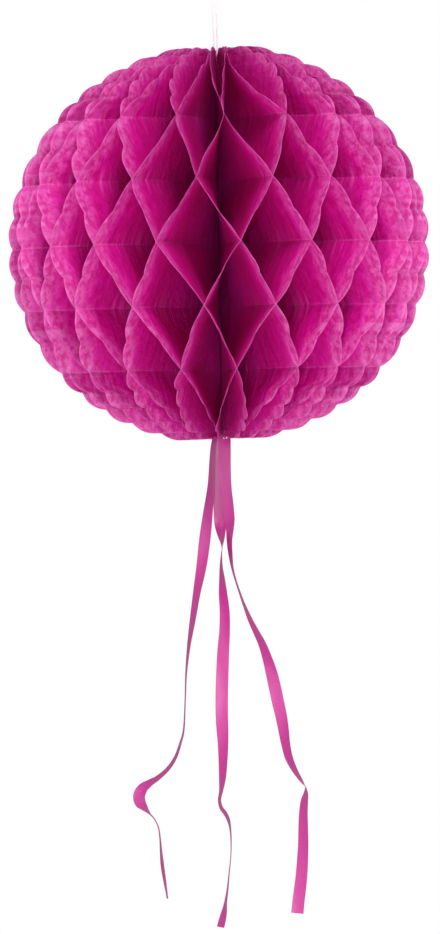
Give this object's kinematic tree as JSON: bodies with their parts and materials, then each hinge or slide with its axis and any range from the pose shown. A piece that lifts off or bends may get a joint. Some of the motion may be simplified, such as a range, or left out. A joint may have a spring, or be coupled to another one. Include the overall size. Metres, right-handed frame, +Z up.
{
  "type": "honeycomb paper ball",
  "caption": "Hanging decoration: a scalloped tissue-paper honeycomb ball that opens from a folded pad, on a thread, with satin ribbon tails below.",
  "frame": {"origin": "inside of the hanging loop's top, where it bears on its hook", "axes": "+Z up along the thread and the ball's spine, -Y towards the viewer of the picture, +X to the viewer's right"},
  "size_m": [0.2999, 0.2997, 0.6751],
  "materials": {
    "tissue": "thin dyed tissue paper, matt, slightly see-through",
    "card": "dyed card, matt",
    "thread": "twisted near-white thread",
    "satin": "woven satin ribbon, soft sheen"
  },
  "bodies": {
    "root": {"honeycomb_pad": "tissue", "end_board_left": "card", "end_board_right": "card", "hanging_thread": "thread", "ribbon_left": "satin", "ribbon_middle": "satin", "ribbon_right": "satin"}
  },
  "joints": []
}
